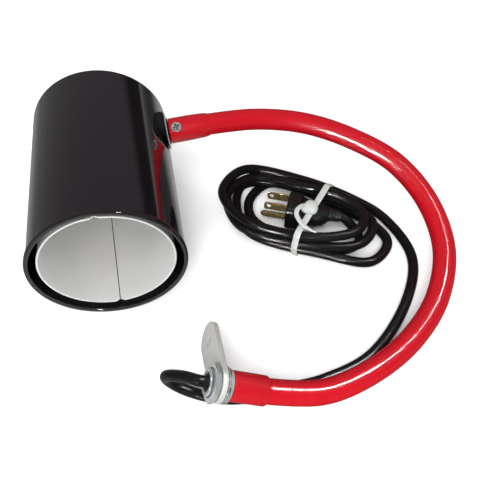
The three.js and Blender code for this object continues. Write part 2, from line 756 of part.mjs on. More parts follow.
const plug = new THREE.Group();
plug.position.set(...PLUG.face);
plug.rotation.z = rad(PLUG.yaw);
const plugTurned = new THREE.Group();
plugTurned.rotation.set(0, rad(-90), 0);
plug.add(plugTurned);
const plugRolled = new THREE.Group();
plugRolled.rotation.z = rad(PLUG.roll);
plugTurned.add(plugRolled);
plugRolled.add(piece('plug_body', plugBody(), blackPlastic));
plugRolled.add(piece('plug_blade_line', blade(-1), brass));
plugRolled.add(piece('plug_blade_neutral', blade(1), brass));
plugRolled.add(piece('plug_ground_pin', groundPin(), brass));
fixture.add(plug);
fixture.updateMatrixWorld(true);

const plugAxis = new THREE.Vector3(0, 0, -1).transformDirection(plugRolled.matrixWorld);
const plugEnd = new THREE.Vector3(0, 0, -PLUG.length - PLUG.tail + 4).applyMatrix4(plugRolled.matrixWorld);
fixture.add(piece('power_cord', sweep(cordCurve(plugEnd, plugAxis), CORD.radius, CORD.sides, CORD.steps), cordPvc));

const tiePlace = new THREE.Group();
tiePlace.position.set(TIE_PLACE.x, TIE_PLACE.y, 0);
tiePlace.rotation.z = rad(TIE_PLACE.turn);
const tie = piece('cord_tie', cordTie(), tieNylon);
tie.rotation.x = rad(90);
tiePlace.add(tie);
fixture.add(tiePlace);

// The origin is the middle of the bottom face of the fixture's bounding box.
const extent = new THREE.Box3().setFromObject(fixture, true);
const middle = extent.getCenter(new THREE.Vector3());
fixture.position.set(-middle.x, -middle.y, -extent.min.z);
fixture.updateMatrixWorld(true);

export default fixture;
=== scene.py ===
import json
import math

import bpy
import numpy as np
from mathutils import Matrix, Vector


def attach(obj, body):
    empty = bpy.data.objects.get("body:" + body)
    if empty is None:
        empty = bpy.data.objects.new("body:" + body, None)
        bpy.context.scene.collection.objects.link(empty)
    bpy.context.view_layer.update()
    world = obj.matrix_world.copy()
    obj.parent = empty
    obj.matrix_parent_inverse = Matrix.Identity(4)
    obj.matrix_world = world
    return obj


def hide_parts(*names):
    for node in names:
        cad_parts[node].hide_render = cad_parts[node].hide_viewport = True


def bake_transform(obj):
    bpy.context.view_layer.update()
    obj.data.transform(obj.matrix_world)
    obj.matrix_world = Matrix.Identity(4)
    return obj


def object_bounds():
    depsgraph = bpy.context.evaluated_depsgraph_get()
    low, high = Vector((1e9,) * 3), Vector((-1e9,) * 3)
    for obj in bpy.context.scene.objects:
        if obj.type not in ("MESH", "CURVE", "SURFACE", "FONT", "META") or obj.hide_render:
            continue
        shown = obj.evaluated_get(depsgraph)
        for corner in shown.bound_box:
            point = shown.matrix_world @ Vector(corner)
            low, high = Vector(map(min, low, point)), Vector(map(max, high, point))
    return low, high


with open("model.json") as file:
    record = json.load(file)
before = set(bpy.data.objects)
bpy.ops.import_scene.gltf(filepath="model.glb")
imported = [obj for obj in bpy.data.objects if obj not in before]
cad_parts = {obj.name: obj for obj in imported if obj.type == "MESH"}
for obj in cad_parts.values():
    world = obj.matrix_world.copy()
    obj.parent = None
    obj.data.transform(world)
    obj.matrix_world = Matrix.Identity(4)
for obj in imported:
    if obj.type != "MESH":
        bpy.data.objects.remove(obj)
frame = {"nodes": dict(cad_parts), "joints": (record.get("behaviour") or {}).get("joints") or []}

cad_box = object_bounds()

MM = 0.001
JOINTS = {joint["name"]: joint for joint in frame["joints"]}

# Shade, measured along its axis from the mouth.
MOUTH = Vector((-81.867, -34.002, 51.821))
SHADE_YAW = math.radians(10.4)
SHADE_PITCH = math.radians(0.4)
TUBE_RADIUS, TUBE_WALL, TUBE_LENGTH = 50.8, 1.2, 144.6
LIP_RADIUS, LIP_LENGTH = 51.8, 3.2
LINER_RADIUS, LINER_WALL, LINER_START, LINER_END = 44.0, 0.8, 3.2, 95.6
SEAMS = (88.5, 269.0)
SEAM_TWIST = 0.05
PLATE_START, HOLDER_FRONT, HOLDER_BACK = 96.4, 74.5, 114.5
FERRULE_RADIUS = 9.4
ARM_RADIUS = 8.0
NIPPLE_RADIUS = 8.55
THREAD_PITCH = 1.41
CORD_RADIUS = 3.7
DESIGN_SHIFT = Vector((2.733, 30.398, 0.021))


# ---------------------------------------------------------------- frames

def frame_at(origin, z_axis, x_axis):
    z = Vector(z_axis).normalized()
    y = z.cross(Vector(x_axis)).normalized()
    x = y.cross(z)
    place = Matrix((x, y, z)).transposed().to_4x4()
    place.translation = Vector(origin)
    return place


def joint_point(name):
    return Vector(JOINTS[name]["pos_m"]) / MM


SHADE = (
    Matrix.Translation(MOUTH)
    @ Matrix.Rotation(SHADE_YAW, 4, "Z")
    @ Matrix.Rotation(-math.pi / 2 - SHADE_PITCH, 4, "X")
)
SHADE_AXIS = SHADE.to_3x3() @ Vector((0, 0, 1))
SWIVEL_AXIS = Vector(JOINTS["head_swivel"]["axis"])
SWIVEL = frame_at(joint_point("head_swivel"), SWIVEL_AXIS, SHADE_AXIS)
BASE_AXIS = -Vector(JOINTS["mount_swivel"]["axis"])
BASE = frame_at(joint_point("mount_swivel"), BASE_AXIS, (0, 1, 0))
MOUNT = BASE @ Matrix.Rotation(math.radians(21), 4, "Z")
ARM_JOINTS = [joint_point(f"arm_joint_{k}") for k in range(1, 13)]


# ---------------------------------------------------------------- materials

class Look:
    """A principled material whose colour, roughness and bump come from nodes."""

    def __init__(self, name, color, rough, metal=0.0, **inputs):
        self.material = bpy.data.materials.new(name)
        self.material.use_nodes = True
        self.material.diffuse_color = (*color, 1)
        self.tree = self.material.node_tree
        self.shader = self.tree.nodes["Principled BSDF"]
        self.color, self.rough = color, rough
        self.shader.inputs["Base Color"].default_value = (*color, 1)
        self.shader.inputs["Roughness"].default_value = rough
        self.shader.inputs["Metallic"].default_value = metal
        for key, value in inputs.items():
            self.shader.inputs[key.replace("_", " ")].default_value = value
        self.coords = self.tree.nodes.new("ShaderNodeTexCoord").outputs["Object"]
        self.normal = None

    def node(self, kind, **values):
        node = self.tree.nodes.new(kind)
        for key, value in values.items():
            node.inputs[key.replace("_", " ")].default_value = value
        return node

    def link(self, a, b):
        self.tree.links.new(a, b)

    def stretched(self, scale, turn=(0, 0, 0)):
        mapping = self.node("ShaderNodeMapping", Scale=scale, Rotation=turn)
        self.link(self.coords, mapping.inputs["Vector"])
        return mapping.outputs["Vector"]

    def noise(self, scale, detail=3.0, vector=None):
        noise = self.node("ShaderNodeTexNoise", Scale=scale, Detail=detail)
        self.link(vector or self.coords, noise.inputs["Vector"])
        return noise.outputs["Fac"]

    def vary_color(self, factor, other, low=0.35, high=0.7):
        ramp = self.tree.nodes.new("ShaderNodeMapRange")
        ramp.inputs["From Min"].default_value = low
        ramp.inputs["From Max"].default_value = high
        self.link(factor, ramp.inputs["Value"])
        mix = self.tree.nodes.new("ShaderNodeMix")
        mix.data_type = "RGBA"
        mix.inputs["A"].default_value = (*self.color, 1)
        mix.inputs["B"].default_value = (*other, 1)
        self.link(ramp.outputs["Result"], mix.inputs["Factor"])
        self.link(mix.outputs["Result"], self.shader.inputs["Base Color"])
        return self

    def paint_recess_shade(self, reach, floor_value):
        """Painted shade: slots, threads and inside corners are darkened in the base colour by an
        ambient-occlusion mask.
        """
        hollow = self.node("ShaderNodeAmbientOcclusion", Distance=reach)
        hollow.samples = 8
        depth = self.tree.nodes.new("ShaderNodeMapRange")
        depth.inputs["From Min"].default_value = 0.35
        depth.inputs["From Max"].default_value = 0.85
        depth.inputs["To Min"].default_value = floor_value
        self.link(hollow.outputs["AO"], depth.inputs["Value"])
        shade = self.tree.nodes.new("ShaderNodeMix")
        shade.data_type = "RGBA"
        shade.blend_type = "MULTIPLY"
        shade.inputs["Factor"].default_value = 1.0
        self.link(self.shader.inputs["Base Color"].links[0].from_socket, shade.inputs["A"])
        self.link(depth.outputs["Result"], shade.inputs["B"])
        self.link(shade.outputs["Result"], self.shader.inputs["Base Color"])
        return self

    def vary_rough(self, factor, low, high):
        ramp = self.tree.nodes.new("ShaderNodeMapRange")
        ramp.inputs["From Min"].default_value = 0.3
        ramp.inputs["From Max"].default_value = 0.7
        ramp.inputs["To Min"].default_value = low
        ramp.inputs["To Max"].default_value = high
        self.link(factor, ramp.inputs["Value"])
        self.link(ramp.outputs["Result"], self.shader.inputs["Roughness"])
        return self

    def bump(self, height, strength, distance=0.0002):
        bump = self.node("ShaderNodeBump", Strength=strength, Distance=distance)
        self.link(height, bump.inputs["Height"])
        if self.normal:
            self.link(self.normal, bump.inputs["Normal"])
        self.normal = bump.outputs["Normal"]
        self.link(self.normal, self.shader.inputs["Normal"])
        return self


def make_looks():
    looks = {}
    paint = Look("gloss_black_paint", (0.0048, 0.0036, 0.0046), 0.09, Specular_IOR_Level=1.0, Coat_Weight=0.4)
    paint.vary_rough(paint.noise(38), 0.07, 0.12)
    paint.bump(paint.noise(420, 1.0), 0.03, 0.0001)
    looks["shell_paint"] = paint
    liner = Look("satin_reflector", (0.8, 0.8, 0.795), 0.34, 0.5)
    streaks = liner.noise(1.0, 2.0, liner.stretched((900, 22, 900), (0, 0, -SHADE_YAW)))
    liner.vary_rough(streaks, 0.3, 0.42)
    liner.vary_color(liner.noise(30), (0.77, 0.765, 0.755))
    liner.bump(streaks, 0.05, 0.00005)
    looks["liner_metal"] = liner
    zinc = Look("bright_zinc", (0.74, 0.78, 0.78), 0.22, 0.8)
    zinc.vary_color(zinc.noise(260), (0.68, 0.72, 0.73))
    # Painted shade in the zinc's slots, threads and nut recesses.
    zinc.paint_recess_shade(0.0025, 0.04)
    zinc.vary_rough(zinc.noise(520), 0.16, 0.22)
    zinc.bump(zinc.noise(1500, 2.0), 0.02, 0.00004)
    looks["zinc"] = zinc
    plate = Look("rolled_zinc", (0.68, 0.685, 0.66), 0.42, 0.6)
    plate.vary_color(plate.noise(150), (0.64, 0.645, 0.62))
    plate.vary_rough(plate.noise(700), 0.37, 0.47)
    plate.bump(plate.noise(1300, 3.0), 0.06, 0.00005)
    looks["plate_zinc"] = plate
    red = Look("gloss_red_paint", (0.36, 0.002, 0.0075), 0.22, Coat_Weight=0.3, Coat_Roughness=0.06)
    red.vary_color(red.noise(70), (0.33, 0.0018, 0.0065))
    red.bump(red.noise(160, 1.0), 0.015, 0.0001)
    looks["red_paint"] = red
    vinyl = Look("ribbed_red_vinyl", (0.37, 0.002, 0.0078), 0.2, Coat_Weight=0.15, Coat_Roughness=0.1)
    vinyl.vary_color(vinyl.noise(55), (0.345, 0.0018, 0.007))
    vinyl.vary_rough(vinyl.noise(60), 0.19, 0.215)
    looks["red_vinyl"] = vinyl
    cord = Look("cord_jacket", (0.0026, 0.0024, 0.0026), 0.26, Specular_IOR_Level=0.35)
    cord.vary_color(cord.noise(60), (0.004, 0.0036, 0.0036))
    cord.vary_rough(cord.noise(40), 0.29, 0.33)
    cord.bump(cord.noise(300, 1.0), 0.008, 0.0001)
    looks["cord_vinyl"] = cord
    plastic = Look("moulded_black", (0.0042, 0.004, 0.0042), 0.36)
    plastic.vary_rough(plastic.noise(300), 0.3, 0.45)
    plastic.bump(plastic.noise(2200, 3.0), 0.15, 0.00006)
    looks["black_plastic"] = plastic
    brass = Look("stamped_brass", (0.66, 0.52, 0.22), 0.26, 0.9)
    brass.vary_color(brass.noise(330), (0.55, 0.42, 0.17))
    scratches = brass.noise(1.0, 2.0, brass.stretched((120, 700, 700)))
    brass.vary_rough(scratches, 0.22, 0.3)
    brass.bump(scratches, 0.02, 0.00002)
    looks["brass"] = brass
    ceramic = Look("glazed_ceramic", (0.78, 0.755, 0.69), 0.25, Coat_Weight=0.6, Coat_Roughness=0.05)
    ceramic.vary_color(ceramic.noise(240, 6.0), (0.70, 0.67, 0.60))
    ceramic.bump(ceramic.noise(160), 0.1, 0.0002)
    looks["ceramic"] = ceramic
    nylon = Look("natural_nylon", (0.44, 0.465, 0.445), 0.38, Subsurface_Weight=0.35, Subsurface_Scale=0.004)
    nylon.shader.inputs["Subsurface Radius"].default_value = (1.0, 1.0, 0.95)
    nylon.vary_color(nylon.noise(350), (0.40, 0.42, 0.405))
    nylon.bump(nylon.noise(1200), 0.08, 0.0001)
    looks["white_plastic"] = nylon
    return {key: look.material for key, look in looks.items()}


LOOKS = make_looks()


# ---------------------------------------------------------------- mesh builders

def add_piece(name, mesh, look, body=None, stands_for=()):
    piece = bpy.data.objects.new(name, mesh)
    bpy.context.scene.collection.objects.link(piece)
    mesh.materials.clear()
    mesh.materials.append(LOOKS[look])
    if body:
        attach(piece, body)
    if stands_for:
        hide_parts(*stands_for)
    return piece


def mesh_from(name, points, faces, place=Matrix.Identity(4), sharp=32.0):
    """A smooth-shaded mesh from millimetre points in a local frame, moved to the row frame in metres."""
    mesh = bpy.data.meshes.new(name)
    mesh.from_pydata([(place @ Vector(p)) * MM for p in points], [], faces)
    mesh.validate()
    mesh.shade_smooth()
    mesh.set_sharp_from_angle(angle=math.radians(sharp))
    return mesh


def fillet(profile, radius, steps=4, closed=True):
    """Round the corners of a profile of (r, z) points; points on the axis stay."""
    out = []
    count = len(profile)
    for i, (x, y) in enumerate(profile):
        point = Vector((x, y))
        if abs(x) < 1e-6 or (not closed and i in (0, count - 1)):
            out.append((x, y))
            continue
        before = Vector(profile[i - 1]) - point
        after = Vector(profile[(i + 1) % count]) - point
        cut = min(radius, before.length * 0.45, after.length * 0.45)
        start = point + before.normalized() * cut
        end = point + after.normalized() * cut
        for k in range(steps + 1):
            t = k / steps
            out.append(tuple(start * (1 - t) ** 2 + point * 2 * t * (1 - t) + end * t * t))
    return out


def lathe(profile, facets=96):
    """Points and faces of a closed (r, z) profile turned about Z. r and z may be functions of the angle."""
    points, rows = [], []
    for r, z in profile:
        if not callable(r) and abs(r) < 1e-6:
            rows.append([len(points)] * facets)
            points.append((0, 0, z))
            continue
        row = []
        for k in range(facets):
            angle = 2 * math.pi * k / facets
            radius = r(angle) if callable(r) else r
            height = z(angle) if callable(z) else z
            row.append(len(points))
            points.append((radius * math.cos(angle), radius * math.sin(angle), height))
        rows.append(row)
    faces = []
    for i in range(len(rows)):
        a, b = rows[i], rows[(i + 1) % len(rows)]
        if a[0] == a[1] and b[0] == b[1]:
            continue
        for k in range(facets):
            n = (k + 1) % facets
            face = [a[k], a[n], b[n], b[k]]
            faces.append(tuple(dict.fromkeys(face)))
    return points, faces


def turned(name, profile, place, look, body, stands_for=(), facets=96, round_by=0.3, sharp=32.0):
    points, faces = lathe(fillet(profile, round_by) if round_by else profile, facets)
    return add_piece(name, mesh_from(name, points, faces, place, sharp), look, body, stands_for)


def washer_profile(outer, inner, low, high):
    return [(inner, low), (outer, low), (outer, high), (inner, high)]


def hex_profile(across, bore, low, high):
    """A hex nut with chamfered corners as rings whose radius follows the hexagon."""
    flat = across / 2
    crown = flat * 0.965
    slope = math.tan(math.radians(30))

    def side(angle):
        wedge = (angle + math.pi / 6) % (math.pi / 3) - math.pi / 6
        return min(flat / math.cos(wedge), flat * 1.13)

    def foot(angle):
        return low + (side(angle) - crown) * slope

    def head(angle):
        return high - (side(angle) - crown) * slope

    return [
        (bore, low + 0.5), (bore + 0.4, low), (crown, low), (side, foot),
        (side, head), (crown, high), (bore + 0.4, high), (bore, high - 0.5),
    ]


def spline(points, spacing):
    """Evenly spaced points along a centripetal Catmull-Rom curve, as a numpy array."""
    p = [np.array(q, float) for q in points]
    p = [2 * p[0] - p[1]] + p + [2 * p[-1] - p[-2]]
    dense = []
    for i in range(1, len(p) - 2):
        t = [0.0]
        for a, b in zip(p[i - 1:i + 2], p[i:i + 3]):
            t.append(t[-1] + max(np.linalg.norm(b - a), 1e-6) ** 0.5)
        for s in np.linspace(t[1], t[2], 40, endpoint=False):
            a1 = (t[1] - s) / (t[1] - t[0]) * p[i - 1] + (s - t[0]) / (t[1] - t[0]) * p[i]
            a2 = (t[2] - s) / (t[2] - t[1]) * p[i] + (s - t[1]) / (t[2] - t[1]) * p[i + 1]
            a3 = (t[3] - s) / (t[3] - t[2]) * p[i + 1] + (s - t[2]) / (t[3] - t[2]) * p[i + 2]
            b1 = (t[2] - s) / (t[2] - t[0]) * a1 + (s - t[0]) / (t[2] - t[0]) * a2
            b2 = (t[3] - s) / (t[3] - t[1]) * a2 + (s - t[1]) / (t[3] - t[1]) * a3
            dense.append((t[2] - s) / (t[2] - t[1]) * b1 + (s - t[1]) / (t[2] - t[1]) * b2)
    dense.append(p[-2])
    dense = np.array(dense)
    along = np.concatenate([[0], np.cumsum(np.linalg.norm(np.diff(dense, axis=0), axis=1))])
    count = max(2, int(round(along[-1] / spacing)))
    wanted = np.linspace(0, along[-1], count + 1)
    return np.stack([np.interp(wanted, along, dense[:, k]) for k in range(3)], axis=1)


def parallel_frames(path):
    """Tangent and twist-free side vectors at each point of a path."""
    tangents = np.gradient(path, axis=0)
    tangents /= np.linalg.norm(tangents, axis=1)[:, None]
    side = Vector(tangents[0]).orthogonal().normalized()
    frames = []
    for tangent in tangents:
        t = Vector(tangent)
        side = (side - t * side.dot(t)).normalized()
        frames.append((t, side.copy(), t.cross(side)))
    return frames


def band_faces(rings, sides):
    """Quads that join each ring of points to the next."""
    faces = []
    for i in range(rings - 1):
        for k in range(sides):
            n = (k + 1) % sides
            faces.append((i * sides + k, i * sides + n, (i + 1) * sides + n, (i + 1) * sides + k))
    return faces


def end_faces(rings, sides):
    """The two faces that close a stack of rings."""
    last = (rings - 1) * sides
    return [tuple(range(sides))[::-1], tuple(range(last, last + sides))]


def tube(path, radius, sides=24):
    """Points and faces of a closed tube along a path."""
    points = []
    for centre, (_, u, v) in zip(path, parallel_frames(path)):
        for k in range(sides):
            angle = 2 * math.pi * k / sides
            offset = u * (radius * math.cos(angle)) + v * (radius * math.sin(angle))
            points.append(tuple(Vector(centre) + offset))
    return points, band_faces(len(path), sides) + end_faces(len(path), sides)


def plate_mesh(name, outlines, thickness, bevel, place):
    """A flat plate with holes, its edges bevelled, from closed 2-D outlines; centred on local z = 0."""
    curve = bpy.data.curves.new(name, "CURVE")
    curve.dimensions = "2D"
    curve.fill_mode = "BOTH"
    curve.extrude = (thickness / 2 - bevel) * MM
    curve.bevel_depth = bevel * MM
    curve.bevel_resolution = 2
    curve.offset = -bevel * MM
    for outline in outlines:
        line = curve.splines.new("POLY")
        line.points.add(len(outline) - 1)
        for point, (x, y) in zip(line.points, outline):
            point.co = (x * MM, y * MM, 0, 1)
        line.use_cyclic_u = True
    carrier = bpy.data.objects.new(name, curve)
    bpy.context.scene.collection.objects.link(carrier)
    bpy.context.view_layer.update()
    mesh = bpy.data.meshes.new_from_object(carrier.evaluated_get(bpy.context.evaluated_depsgraph_get()))
    bpy.data.objects.remove(carrier)
    bpy.data.curves.remove(curve)
    metres = place.copy()
    metres.translation = place.translation * MM
    mesh.transform(metres)
    mesh.shade_smooth()
    mesh.set_sharp_from_angle(angle=math.radians(40))
    return mesh


def circle(radius, x=0.0, y=0.0, steps=40):
    return [
        (x + radius * math.cos(2 * math.pi * k / steps), y + radius * math.sin(2 * math.pi * k / steps))
        for k in range(steps)
    ]


def arc(radius, x, y, start, end, steps=16):
    span = math.radians(end - start)
    first = math.radians(start)
    return [
        (x + radius * math.cos(first + span * k / steps), y + radius * math.sin(first + span * k / steps))
        for k in range(steps + 1)
    ]


def cut(piece, cutter_points, cutter_faces, place):
    """Cut a solid out of a piece and leave the result in the piece's own mesh."""
    mesh = mesh_from("cutter", cutter_points, cutter_faces, place)
    cutter = bpy.data.objects.new("cutter", mesh)
    bpy.context.scene.collection.objects.link(cutter)
    modifier = piece.modifiers.new("cut", "BOOLEAN")
    modifier.operation = "DIFFERENCE"
    modifier.solver = "EXACT"
    modifier.object = cutter
    bpy.context.view_layer.update()
    shape = bpy.data.meshes.new_from_object(piece.evaluated_get(bpy.context.evaluated_depsgraph_get()))
    piece.modifiers.clear()
    piece.data = shape
    shape.shade_smooth()
    shape.set_sharp_from_angle(angle=math.radians(32))
    bpy.data.objects.remove(cutter)


def box_points(width, depth, height):
    x, y, z = width / 2, depth / 2, height / 2
    points = [(i * x, j * y, k * z) for i in (-1, 1) for j in (-1, 1) for k in (-1, 1)]
    faces = [(0, 1, 3, 2), (4, 6, 7, 5), (0, 4, 5, 1), (2, 3, 7, 6), (0, 2, 6, 4), (1, 5, 7, 3)]
    return points, faces


# ---------------------------------------------------------------- shade

def build_shade():
    inner = TUBE_RADIUS - TUBE_WALL
    end = TUBE_LENGTH
    lip = [
        (TUBE_RADIUS, LIP_LENGTH + 1.6), (TUBE_RADIUS + 0.15, LIP_LENGTH + 0.6),
        (LIP_RADIUS - 0.25, LIP_LENGTH),
        (LIP_RADIUS, LIP_LENGTH - 0.5), (LIP_RADIUS, 1.2), (LIP_RADIUS - 0.35, 0.35), (LIP_RADIUS - 1.1, 0),
        (inner + 0.2, 0), (inner - 0.5, 0.3), (inner - 0.7, 0.8),
        (inner - 0.7, LIP_LENGTH - 0.9), (inner - 0.4, LIP_LENGTH - 0.3), (inner, LIP_LENGTH),
    ]
    back = [
        (inner, end - 3.5), (inner - 0.5, end - 1.6), (inner - 1.3, end - 0.3), (inner - 1.0, end),
        (TUBE_RADIUS - 1.6, end), (TUBE_RADIUS - 0.9, end - 0.4), (TUBE_RADIUS - 0.3, end - 1.5),
        (TUBE_RADIUS, end - 3.4),
    ]
    turned("shade_tube", lip + back, SHADE, "shell_paint", "head", ["shade_shell"], 256, 0)
    radius = inner - 0.3
    cap = [
        (0, 136), (radius - 3.2, 136), (radius - 1.4, 134.6), (radius - 1.2, 131.2), (radius, 131.2),
        (radius, 135.8), (radius - 1.4, 137.2), (radius - 5, 137.4), (radius - 6, 136.9), (0, 136.9),
    ]
    piece = turned("top_cap", cap, SHADE, "shell_paint", "head", ["shade_cap"], 128, 0.2)
    for k in range(8):
        slot = [(x, y, z) for z in (130, 140) for x, y in
                arc(2, 29.5, 0, -90, 90, 8) + arc(2, 18.5, 0, 90, 270, 8)]
        n = len(slot) // 2
        faces = [tuple(range(n))[::-1], tuple(range(n, 2 * n))]
        faces += [(i, (i + 1) % n, n + (i + 1) % n, n + i) for i in range(n)]
        cut(piece, slot, faces, SHADE @ Matrix.Rotation(k * math.pi / 4, 4, "Z"))


def liner_half(name, start, end, stands_for):
    """One sheet of the reflector: a satin wall, a rolled bead at the rim and a notch at each seam."""
    first = math.radians(start + 0.4)
    span = math.radians(end - start - 0.8)
    columns = 120
    outer, inner = LINER_RADIUS, LINER_RADIUS - LINER_WALL
    section = [
        (outer, LINER_END), (outer, LINER_START + 1.5), (outer + 0.45, LINER_START + 1.15),
        (outer + 0.5, LINER_START + 0.5), (outer + 0.2, LINER_START + 0.1), (outer - 0.35, LINER_START),
        (inner + 0.05, LINER_START + 0.25), (inner, LINER_START + 0.8),
    ]
    section += [(inner, LINER_START + 4 + 11 * k) for k in range(8)] + [(inner, LINER_END)]
    points, faces = [], []
    for c in range(columns + 1):
        angle = first + span * c / columns
        edge = min(c, columns - c) / columns * span * LINER_RADIUS
        notch = math.sqrt(max(0, 1.7 ** 2 - edge ** 2)) if edge < 1.7 else 0.0
        for r, z in section:
            height = max(z, LINER_START + notch) if notch else z
            turn = angle + math.radians(SEAM_TWIST * (z - LINER_START))
            points.append((r * math.cos(turn), r * math.sin(turn), height))
    rows = len(section)
    for c in range(columns):
        for k in range(rows):
            n = (k + 1) % rows
            faces.append((c * rows + k, (c + 1) * rows + k, (c + 1) * rows + n, c * rows + n))
    faces.append(tuple(range(rows))[::-1])
    faces.append(tuple(range(columns * rows, columns * rows + rows)))
    add_piece(name, mesh_from(name, points, faces, SHADE, 50), "liner_metal", "head", [stands_for])


def build_lamp_parts():
    liner_half("reflector_left", SEAMS[0], SEAMS[1], "liner_half_left")
    liner_half("reflector_right", SEAMS[1] - 360, SEAMS[0], "liner_half_right")
    neck = 12.7
    seat = PLATE_START - 0.3
    body = [
        (0, 94.5), (14.6, 94.5), (14.6, HOLDER_FRONT + 1), (15.4, HOLDER_FRONT), (18, HOLDER_FRONT),
        (19, HOLDER_FRONT + 1.5), (19, 84), (18.4, 84.6), (18.4, 87), (19, 87.6),
        (19, seat - 4), (23, seat - 4),
        (23, seat), (neck, seat), (neck, HOLDER_BACK), (0, HOLDER_BACK),
    ]
    turned("lampholder", body, SHADE, "ceramic", "head", ["lampholder_body"], 72, 0.5)
    rings = []
    for i in range(121):
        z = 77.5 + 15 * i / 120
        wave = 0.45 * math.cos(2 * math.pi * (z - 77.5) / 3.63)
        rings.append((13.4 + wave, z))
    shell = [(r, z) for r, z in rings] + [(r + 0.4, z) for r, z in rings[::-1]]
    turned("screw_shell", shell, SHADE, "brass", "head", ["lampholder_screw_shell"], 64, 0)


# ---------------------------------------------------------------- swivel joint

def build_swivel():
    turned("head_washer", washer_profile(13.3, 6.3, 0.3, 1.2), SWIVEL, "zinc", "head", ["saddle_washer"])
    ring = washer_profile(9.8, 6.3, 1.5, 2.1)
    turned("friction_ring", ring, SWIVEL, "black_plastic", "head", ["swivel_ring"])
    low, high = 2.4, 31.9
    ferrule = [
        (6.3, low), (9.0, low), (FERRULE_RADIUS, low + 0.5), (FERRULE_RADIUS, low + 16), (9.0, high - 3.4),
        (8.5, high - 0.6), (8.2, high), (4.4, high), (4.4, low + 23), (6.3, low + 23),
    ]
    turned("tip_sleeve", ferrule, SWIVEL, "red_paint", "arm_tip", ["tip_ferrule"], 96, 0.4, 40)
    screw = SWIVEL @ Matrix.Translation((0, 0, 8)) @ Matrix.Rotation(math.radians(38), 4, "Z")
    screw = screw @ Matrix.Rotation(math.radians(-90), 4, "X")
    seat = FERRULE_RADIUS + 0.15
    head = [
        (0, 6.3), (2, 6.3), (2, seat), (3.8, seat), (3.8, seat + 0.7), (3.5, seat + 1.35),
        (2.8, seat + 1.9), (1.6, seat + 2.25), (0, seat + 2.35),
    ]
    piece = turned("clamp_screw_head", head, screw, "zinc", "arm_tip", ["clamp_screw"], 48, 0.15, 40)
    points, faces = box_points(4.8, 1.2, 2.4)
    crown = screw @ Matrix.Translation((0, 0, seat + 2.3))
    for turn in (20, 110):
        cut(piece, points, faces, crown @ Matrix.Rotation(math.radians(turn), 4, "Z"))


def build_saddle():
    half_length, half_width, bevel, rise = 9.5, 12.0, 2.0, 1.2
    rings = []
    for inset, z in ((0, -11.0), (0, -bevel), (0.12, -bevel * 0.6), (0.55, -bevel * 0.2), (1.2, 0), (2.4, 0)):
        ring = []
        for sx, sy, start in ((1, 1, 0), (-1, 1, 90), (-1, -1, 180), (1, -1, 270)):
            corner = 1.6
            cx = rise + sx * (half_length - inset - corner)
            cy = sy * (half_width - inset - corner)
            ring += [(x, y, z) for x, y in arc(corner, cx, cy, start, start + 90, 5)]
        rings.append(ring)
    points = [p for ring in rings for p in ring]
    faces = end_faces(len(rings), len(rings[0])) + band_faces(len(rings), len(rings[0]))
    mesh = mesh_from("saddle", points, faces, SWIVEL, 40)
    piece = add_piece("saddle", mesh, "black_plastic", "head", ["saddle_block"])
    clear = TUBE_RADIUS + 0.05
    tube_points, tube_faces = lathe([(0, 60), (clear, 60), (clear, 141), (0, 141)], 192)
    cut(piece, tube_points, tube_faces, SHADE)


# ---------------------------------------------------------------- base

def build_base():
    start, end = -31.0, -6.6
    ferrule = [
        (6.9, end), (8.9, end), (FERRULE_RADIUS, end - 0.5), (FERRULE_RADIUS, start + 1.2),
        (9.0, start + 0.3), (8.3, start), (4.4, start), (4.4, -24), (6.9, -24),
    ]
    turned("base_sleeve", ferrule, BASE, "red_paint", "arm_base", ["base_ferrule"], 96, 0.4, 40)
    low, high = -6.2, 8.2
    rows = int((high - low) / THREAD_PITCH * 8)
    rings = [(6.0, low)]
    for i in range(rows + 1):
        z = low + (high - low) * i / rows
        edge = min(1, (high - z) / 0.9)

        def radius(angle, z=z, edge=edge):
            wave = abs(((z / THREAD_PITCH - angle / (2 * math.pi)) % 1) * 2 - 1)
            return NIPPLE_RADIUS - 0.1 - 0.7 * wave * edge - 0.7 * (1 - edge)

        rings.append((radius, z))
    rings += [(6.2, high), (5.7, high - 0.5), (5.7, low)]
    points, faces = lathe(rings, 72)
    mesh = mesh_from("threaded_nipple", points, faces, BASE, 50)
    add_piece("threaded_nipple", mesh, "zinc", "arm_base", ["base_nipple"])
    collar = hex_profile(19.6, NIPPLE_RADIUS + 0.1, -6.3, -3.2)
    place = BASE @ Matrix.Rotation(0.35, 4, "Z")
    turned("base_hex_collar", collar, place, "zinc", "arm_base", ["base_collar"], 120, 0)
    locknut = hex_profile(22.2, NIPPLE_RADIUS + 0.1, 2.2, 6.1)
    turned("hex_locknut", locknut, BASE, "zinc", "arm_base", ["base_locknut"], 120, 0)
    bushing = washer_profile(5.6, 4.1, 3, 7.9)
    turned("bushing_insert", bushing, BASE, "black_plastic", "arm_base", ["cord_bushing"], 48)
    washer = washer_profile(11.6, NIPPLE_RADIUS + 0.2, -2.9, -2)
    turned("strap_washer", washer, BASE, "zinc", "mount", ["plate_washer"])
    outline = arc(11.6, 0, 0, 90, 270, 32) + arc(11.6, 39.4, 0, -90, 90, 32)
    holes = [circle(NIPPLE_RADIUS + 0.3, 0, 0), circle(3.5, 37.2, 0)[::-1]]
    place = MOUNT @ Matrix.Translation((0, 0, 0.1))
    mesh = plate_mesh("strap_plate", [outline, *holes], 3.6, 0.35, place)
    add_piece("strap_plate", mesh, "plate_zinc", "mount", ["mount_plate"])


# ---------------------------------------------------------------- arm sleeve

RIB_PITCH = 2.4
RIB_HEIGHT = 0.08
SLEEVE_STEP = 0.4


